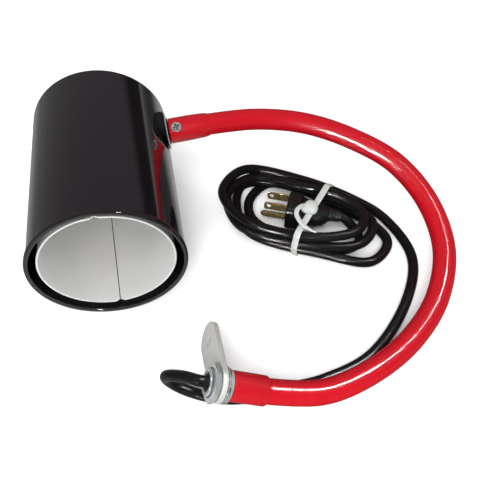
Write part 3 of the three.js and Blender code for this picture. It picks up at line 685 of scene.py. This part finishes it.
def build_arm():
    """Twelve lengths of ribbed sleeve along the arm's rest curve, each spanning one arm joint between two
    links.
    """
    first = ARM_JOINTS[0] + BASE_AXIS * 4
    last = ARM_JOINTS[-1] - SWIVEL_AXIS * 4
    path = spline([first, *ARM_JOINTS, last], SLEEVE_STEP)
    joints_at = [int(np.argmin(np.linalg.norm(path - np.array(j), axis=1))) for j in ARM_JOINTS]
    cuts = [0]
    cuts += [(a + b) // 2 for a, b in zip(joints_at, joints_at[1:])]
    cuts += [len(path) - 1]
    frames = parallel_frames(path)
    sides = 48
    for k in range(12):
        lo, hi = cuts[k], cuts[k + 1]
        points = []
        for i in range(lo, hi + 1):
            along = i * SLEEVE_STEP
            rib = RIB_HEIGHT * (0.5 - 0.5 * math.cos(2 * math.pi * along / RIB_PITCH))
            radius = ARM_RADIUS + rib
            _, u, v = frames[i]
            for s in range(sides):
                angle = 2 * math.pi * s / sides
                offset = u * (radius * math.cos(angle)) + v * (radius * math.sin(angle))
                points.append(tuple(Vector(path[i]) + offset))
        name = f"sleeve_{k + 1}"
        nodes = [f"arm_link_{k + 1}"] if k < 11 else []
        mesh = mesh_from(name, points, band_faces(hi - lo + 1, sides), sharp=80)
        piece = add_piece(name, mesh, "red_vinyl", None, nodes)
        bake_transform(piece)


# ---------------------------------------------------------------- cord, plug and tie

PLUG_FACE = Vector((37.2, 20.7, 15.0)) + DESIGN_SHIFT
PLUG = (
    Matrix.Translation(PLUG_FACE)
    @ Matrix.Rotation(math.radians(-13), 4, "Z")
    @ Matrix.Rotation(math.radians(-90), 4, "Y")
    @ Matrix.Rotation(math.radians(278), 4, "Z")
)
PLUG_LENGTH, PLUG_TAIL = 23.0, 19.0


def cord_path():
    low, middle, high = 5.4, 13.0, 20.6
    exit_point = BASE @ Vector((0, 0, 2.5)) - DESIGN_SHIFT
    in_bushing = BASE @ Vector((0, 0, 8.4)) - DESIGN_SHIFT
    outside = BASE @ Vector((0, 0, 12.2)) - DESIGN_SHIFT
    axis = (PLUG.to_3x3() @ Vector((0, 0, -1)))
    plug_end = PLUG @ Vector((0, 0, -PLUG_LENGTH - PLUG_TAIL + 4)) - DESIGN_SHIFT
    points = [
        exit_point, in_bushing, outside,
        (-34, -130, 30.5), (-46, -125, 20.5), (-43.5, -124.5, 10.5), (-33, -127.5, 5), (-14, -132, 4.2),
        (8, -131.5, 4.2), (30, -125.5, 4.2), (53, -119.8, 4.2), (87, -102, 4.2), (119, -58, 4.2),
        (129.5, -18, 4.2), (113.5, 18, 6), (92, 32.5, 10.5), (50, 47.5, 18.4),
        (3, 56.8, high), (-13.8, 32.5, high),
        (5, 2, high), (58, -14, high), (88, -7, high), (94, 7, high), (82, 25, high), (53, 37, high),
        (10, 54, 14.5), (-9.5, 39, middle), (0, 4, middle), (59, -16.5, middle), (92, -13, middle),
        (102, 7, middle), (85, 24, middle), (54, 39, middle), (30, 52, 10.5), (3, 53, 7), (-3, 37, low),
        (7, 4, low), (63, -18, low), (98, -25, low), (113, -7, low), (104.5, 11, low), (80.5, 28.5, low),
        (50, 49, low), (24, 56, low), (8, 38, low), (8.5, 20, low), (18, 8.5, low), (36, 1, low),
        (61, -10, low),
        (82, -13, low), (92, -4, low),
        plug_end + axis * 5, plug_end,
    ]
    return spline(points, 1.6) + np.array(DESIGN_SHIFT)


def build_cord():
    points, faces = tube(cord_path(), CORD_RADIUS, 24)
    mesh = mesh_from("supply_cord", points, faces, sharp=60)
    add_piece("supply_cord", mesh, "cord_vinyl", "mount", ["power_cord"])


def loft(sections, sides=48):
    """Closed body through superellipse sections (z, half width, low y, high y, exponent)."""
    points = []
    for z, half, low, high, power in sections:
        middle, tall = (low + high) / 2, (high - low) / 2
        for k in range(sides):
            angle = 2 * math.pi * k / sides
            c, s = math.cos(angle), math.sin(angle)
            points.append((
                half * math.copysign(abs(c) ** (2 / power), c),
                middle + tall * math.copysign(abs(s) ** (2 / power), s),
                z,
            ))
    return points, band_faces(len(sections), sides) + end_faces(len(sections), sides)


def build_plug():
    grip = [
        (0, 12.2, -12.2, 8.2, 4.5), (-0.5, 12.8, -12.8, 8.8, 4.5), (-1.2, 13, -13, 9, 4.5),
        (-9.5, 13, -13, 9, 4.5),
        (-10.4, 12.5, -12.4, 8.6, 4.2), (-11.2, 11.2, -10.6, 7.4, 3.8), (-14, 10.4, -9.4, 6.6, 3.2),
        (-19, 10.6, -9.4, 6.8, 2.9), (-24, 10.8, -9.2, 6.8, 2.7), (-28, 9.6, -8.2, 6.0, 2.5),
        (-31, 7.4, -7.0, 4.6, 2.3), (-32, 6.0, -6.2, 4.2, 2.1),
    ]
    for k in range(5):
        z = -32.6 - 1.9 * k
        wide = 5.7 - 0.18 * k
        neck = wide - 0.7
        grip += [(z, wide, -wide, wide, 2), (z - 0.9, wide, -wide, wide, 2)]
        grip += [(z - 1.1, neck, -neck, neck, 2), (z - 1.7, neck, -neck, neck, 2)]
    points, faces = loft(grip[::-1])
    mesh = mesh_from("plug_grip", points, faces, PLUG, 40)
    add_piece("plug_grip", mesh, "black_plastic", "mount", ["plug_body"])
    for side, node in ((-1, "plug_blade_line"), (1, "plug_blade_neutral")):
        tip = 17.5
        outline = [(-3.17, -7), (3.17, -7)]
        outline += arc(1.6, 1.57, tip - 1.6, 0, 90, 6) + arc(1.6, -1.57, tip - 1.6, 90, 180, 6)
        hole = circle(1.7, 0, tip - 3.6, 24)[::-1]
        place = PLUG @ Matrix.Translation((side * 6.35, 4, 0)) @ Matrix.Rotation(math.pi / 2, 4, "X")
        place = place @ Matrix.Rotation(math.pi / 2, 4, "Y")
        mesh = plate_mesh(node.replace("plug_", "prong_"), [outline, hole], 1.5, 0.3, place)
        add_piece(node.replace("plug_", "prong_"), mesh, "brass", "mount", [node])
    pin = [
        (0, -8), (2.4, -8), (2.4, 17.2), (2.25, 18.6), (1.75, 20), (1.1, 20.8), (0, 21),
    ]
    place = PLUG @ Matrix.Translation((0, -9.6, 0))
    turned("prong_ground", pin, place, "brass", "mount", ["plug_ground_pin"], 32, 0.2, 60)


TIE_STRANDS = [(-27.2, 5.6), (27.2, 5.6), (33.4, 14), (24.2, 22), (-26.2, 22), (-28.6, 13)]


def build_tie():
    """A flat strap drawn round the coil. Returns the place of its plane, where the knot goes."""
    place = Matrix.Translation(Vector((56, 10.8, 0)) + DESIGN_SHIFT)
    place = place @ Matrix.Rotation(math.radians(61.4), 4, "Z") @ Matrix.Rotation(math.pi / 2, 4, "X")
    line = []
    count = len(TIE_STRANDS)
    for i, (x, y) in enumerate(TIE_STRANDS):
        before = TIE_STRANDS[i - 1]
        after = TIE_STRANDS[(i + 1) % count]
        start = math.degrees(math.atan2(y - before[1], x - before[0])) - 90
        end = math.degrees(math.atan2(after[1] - y, after[0] - x)) - 90
        end += 360 if end < start else 0
        line += arc(4.5, x, y, start, end, 6)
    points, faces = [], []
    half, thick = 2.3, 0.6
    section = [
        (-half, -thick + 0.2), (-half, thick - 0.25), (-half + 0.4, thick), (half - 0.4, thick),
        (half, thick - 0.25), (half, -thick + 0.2), (half - 0.3, -thick), (-half + 0.3, -thick),
    ]
    n = len(line)
    for i, (x, y) in enumerate(line):
        ahead, behind = Vector(line[(i + 1) % n]), Vector(line[i - 1])
        tangent = (ahead - behind).normalized()
        out = Vector((tangent.y, -tangent.x))
        for across, up in section:
            points.append((x + out.x * up, y + out.y * up, across))
    for i in range(n):
        m = (i + 1) % n
        faces += [(i * 8 + k, m * 8 + k, m * 8 + (k + 1) % 8, i * 8 + (k + 1) % 8) for k in range(8)]
    mesh = mesh_from("tie_strap", points, faces, place, 40)
    add_piece("tie_strap", mesh, "white_plastic", "mount", ["cord_tie"])
    return place


BAND_SECTION = [(-1, -0.5), (-1, 0.5), (-0.8, 1), (0.8, 1), (1, 0.5), (1, -0.5), (0.8, -1), (-0.8, -1)]


def ribbon(path, width, thickness):
    """A flat band along a path, its broad side up. width is a function of the share of the path."""
    points, faces = [], []
    tangents = np.gradient(np.array(path), axis=0)
    for i, (centre, tangent) in enumerate(zip(path, tangents)):
        t = Vector(tangent).normalized()
        side = t.cross(Vector((0, 1, 0))).normalized()
        up = side.cross(t)
        half, thick = width(i / (len(path) - 1)) / 2, thickness / 2
        for across, rise in BAND_SECTION:
            points.append(tuple(Vector(centre) + side * (across * half) + up * (rise * thick)))
    for i in range(len(path) - 1):
        for k in range(8):
            n = (k + 1) % 8
            faces.append((i * 8 + k, (i + 1) * 8 + k, (i + 1) * 8 + n, i * 8 + n))
    faces.append(tuple(range(8)))
    faces.append(tuple(range((len(path) - 1) * 8, len(path) * 8))[::-1])
    return points, faces


def build_tie_knot(place):
    """The knot-like head, a soft lump over the strap, and the tail that loops out of it."""
    points = []
    steps, sides = 20, 28
    for i in range(steps + 1):
        polar = math.pi * i / steps
        for k in range(sides):
            around = 2 * math.pi * k / sides
            swell = 1 + 0.10 * math.cos(3 * around + 0.6) * math.sin(polar) ** 2
            x = 6.4 * math.copysign(abs(math.sin(polar) * math.cos(around)) ** 0.8, math.cos(around)) * swell
            z = 5.8 * math.copysign(abs(math.sin(polar) * math.sin(around)) ** 0.8, math.sin(around)) * swell
            y = 3.7 * math.cos(polar)
            points.append((x - 3.4, 28.2 + y, z - 1.8))
    mesh = mesh_from("tie_head", points, band_faces(steps + 1, sides), place, 60)
    add_piece("tie_head", mesh, "white_plastic", "mount")
    loop = spline([
        (-3, 28.8, -4), (-4.5, 29.2, -6.8), (-10.4, 29.4, -9), (-14.9, 29.2, -7.8), (-19, 28.9, -3.9),
        (-22, 28.2, 1.5), (-22.7, 27.6, 6.9), (-22.4, 26.4, 11.8),
    ], 0.8)
    points, faces = ribbon(loop, lambda t: 3.4 * min(1, 2.6 * (1 - t) ** 0.8 + 0.12), 0.9)
    add_piece("tie_tail", mesh_from("tie_tail", points, faces, place, 60), "white_plastic", "mount")


# ---------------------------------------------------------------- carried-over nodes

CARRIED = {
    "lamp_plate": "zinc", "lampholder_contact": "brass", "lampholder_screw_1": "zinc",
    "lampholder_screw_2": "zinc", "lead_live": "black_plastic", "lead_neutral": "white_plastic",
    "swivel_stud": "zinc", "stud_nut": "zinc",
}


def dress_carried_nodes():
    for name, look in CARRIED.items():
        node = frame["nodes"][name]
        node.data.materials.clear()
        node.data.materials.append(LOOKS[look])


# ---------------------------------------------------------------- stage, light and camera

# Painted reflection: how bright the floor shows in polished surfaces, from left (0) to right (1). It is a glow
# for glossy rays only, not the floor's own colour.
PAINTED_FLOOR_REFLECTION = [
    (0.36, 0.18), (0.40, 0.3), (0.44, 0.5), (0.485, 0.4), (0.505, 0.06), (0.54, 0.06), (0.63, 0.2),
    (0.70, 0.36), (0.79, 0.32), (0.82, 0.015),
]


def build_stage():
    """A plain pale floor. Polished surfaces show a painted reflection of it: a glow seen only by glossy rays,
    brighter or darker from left to right as listed above.
    """
    mesh = bpy.data.meshes.new("floor")
    size = 4.0
    corners = [(-size, -size, 0), (size, -size, 0), (size, size, 0), (-size, size, 0)]
    mesh.from_pydata(corners, [], [(0, 1, 2, 3)])
    floor = bpy.data.objects.new("floor", mesh)
    floor.location.z = cad_box[0][2] - 0.0004
    bpy.context.scene.collection.objects.link(floor)
    pale = Look("pale_floor", (0.93, 0.93, 0.93), 0.9, Specular_IOR_Level=0.1)
    pale.vary_color(pale.noise(6), (0.92, 0.92, 0.925))
    tree = pale.tree
    split = tree.nodes.new("ShaderNodeSeparateXYZ")
    pale.link(pale.coords, split.inputs["Vector"])
    span = tree.nodes.new("ShaderNodeMapRange")
    span.inputs["From Min"].default_value = -1.0
    span.inputs["From Max"].default_value = 1.0
    pale.link(split.outputs["X"], span.inputs["Value"])
    ramp = tree.nodes.new("ShaderNodeValToRGB")
    stops = ramp.color_ramp.elements
    stops[0].position, stops[0].color = 0.0, (0.16, 0.155, 0.155, 1)
    stops[1].position, stops[1].color = 1.0, (0.015, 0.014, 0.015, 1)
    for place, value in PAINTED_FLOOR_REFLECTION:
        stop = stops.new(place)
        stop.color = (value, value * 0.99, value * 0.97, 1)
    pale.link(span.outputs["Result"], ramp.inputs["Fac"])
    # Painted reflection: polished surfaces see this glow in place of the floor.
    painted_reflection = tree.nodes.new("ShaderNodeEmission")
    pale.link(ramp.outputs["Color"], painted_reflection.inputs["Color"])
    path = tree.nodes.new("ShaderNodeLightPath")
    mix = tree.nodes.new("ShaderNodeMixShader")
    pale.link(path.outputs["Is Glossy Ray"], mix.inputs["Fac"])
    pale.link(pale.shader.outputs["BSDF"], mix.inputs[1])
    pale.link(painted_reflection.outputs["Emission"], mix.inputs[2])
    pale.link(mix.outputs["Shader"], tree.nodes["Material Output"].inputs["Surface"])
    mesh.materials.append(pale.material)


def mix_by(tree, value, span, near, far):
    """Blend from one colour to another as a value crosses a span."""
    share = tree.nodes.new("ShaderNodeMapRange")
    share.inputs["From Min"].default_value, share.inputs["From Max"].default_value = span
    tree.links.new(value, share.inputs["Value"])
    blend = tree.nodes.new("ShaderNodeMix")
    blend.data_type = "RGBA"
    tree.links.new(share.outputs["Result"], blend.inputs["Factor"])
    tree.links.new(near, blend.inputs["A"])
    if isinstance(far, tuple):
        blend.inputs["B"].default_value = far
    else:
        tree.links.new(far, blend.inputs["B"])
    return blend.outputs["Result"]


def build_world():
    """White surroundings for plain views and soft fill; polished surfaces mirror a dark room instead."""
    world = bpy.data.worlds.new("studio")
    bpy.context.scene.world = world
    world.use_nodes = True
    tree = world.node_tree
    tree.nodes.clear()
    output = tree.nodes.new("ShaderNodeOutputWorld")
    path = tree.nodes.new("ShaderNodeLightPath")
    fill = tree.nodes.new("ShaderNodeBackground")
    fill.inputs["Color"].default_value = (1, 1, 1, 1)
    fill.inputs["Strength"].default_value = 1.0
    mirror = tree.nodes.new("ShaderNodeBackground")
    coords = tree.nodes.new("ShaderNodeTexCoord")
    split = tree.nodes.new("ShaderNodeSeparateXYZ")
    tree.links.new(coords.outputs["Generated"], split.inputs["Vector"])
    rise = tree.nodes.new("ShaderNodeValToRGB")
    stops = rise.color_ramp.elements
    stops[0].position, stops[0].color = 0.0, (0.015, 0.014, 0.015, 1)
    stops[1].position, stops[1].color = 0.5, (0.15, 0.13, 0.145, 1)
    stops.new(0.16).color = (0.015, 0.014, 0.015, 1)
    stops.new(0.26).color = (0.13, 0.115, 0.13, 1)
    tree.links.new(split.outputs["Z"], rise.inputs["Fac"])
    haze = tree.nodes.new("ShaderNodeValToRGB")
    stops = haze.color_ramp.elements
    stops[0].position, stops[0].color = 0.0, (0.16, 0.155, 0.155, 1)
    stops[1].position, stops[1].color = 0.5, (0.15, 0.13, 0.145, 1)
    tree.links.new(split.outputs["Z"], haze.inputs["Fac"])
    left = mix_by(tree, split.outputs["X"], (0.0, -0.3), rise.outputs["Color"], haze.outputs["Color"])
    front = mix_by(tree, split.outputs["Y"], (0.0, -0.6), left, (0.045, 0.045, 0.048, 1))
    tree.links.new(front, mirror.inputs["Color"])
    mix = tree.nodes.new("ShaderNodeMixShader")
    tree.links.new(path.outputs["Is Glossy Ray"], mix.inputs["Fac"])
    tree.links.new(fill.outputs["Background"], mix.inputs[1])
    tree.links.new(mirror.outputs["Background"], mix.inputs[2])
    tree.links.new(mix.outputs["Shader"], output.inputs["Surface"])


def soft_light(name, place, target, size, watts, spread=0):
    """A rectangular softbox. One with a spread is a narrow glint, seen in polished surfaces only."""
    light = bpy.data.lights.new(name, "AREA")
    light.shape = "RECTANGLE"
    light.size, light.size_y = size
    light.energy = watts
    lamp = bpy.data.objects.new(name, light)
    lamp.location = place
    lamp.rotation_euler = (Vector(target) - Vector(place)).to_track_quat("-Z", "Y").to_euler()
    lamp.visible_diffuse = not spread
    lamp.visible_glossy = bool(spread)
    if spread:
        light.spread = math.radians(spread)
    bpy.context.scene.collection.objects.link(lamp)
    return lamp


def build_lights():
    soft_light("fill_softbox", (-0.2, -0.7, 1.3), (0, 0, 0.03), (0.8, 0.5), 9)
    soft_light("mouth_fill", (-0.05, -0.62, 0.50), (-0.09, 0.0, 0.03), (0.3, 0.2), 4.5)
    soft_light("glint_overhead", (0.47, 0.02, 1.2), (0.07, -0.13, 0.02), (0.1, 0.24), 0.22, spread=16)
    soft_light("glint_front", (-0.49, -1.03, 0.40), (0.105, 0.075, 0.05), (0.08, 0.08), 0.17, spread=10)


CAMERA_PLACE = Vector((2.733, -255.502, 354.321))
CAMERA_ELEVATION = 51.1
CAMERA_LENS = 43.7


def build_camera():
    data = bpy.data.cameras.new("view")
    data.lens = CAMERA_LENS
    data.sensor_width = 36
    data.clip_start = 0.01
    camera = bpy.data.objects.new("view", data)
    camera.location = CAMERA_PLACE * MM
    camera.rotation_euler = (math.radians(90 - CAMERA_ELEVATION), 0, 0)
    bpy.context.scene.collection.objects.link(camera)
    bpy.context.scene.camera = camera


build_shade()
build_lamp_parts()
build_swivel()
build_saddle()
build_base()
build_arm()
build_cord()
build_plug()
build_tie_knot(build_tie())
dress_carried_nodes()
build_stage()
build_world()
build_lights()
build_camera()
bpy.context.scene.view_settings.view_transform = "Standard"
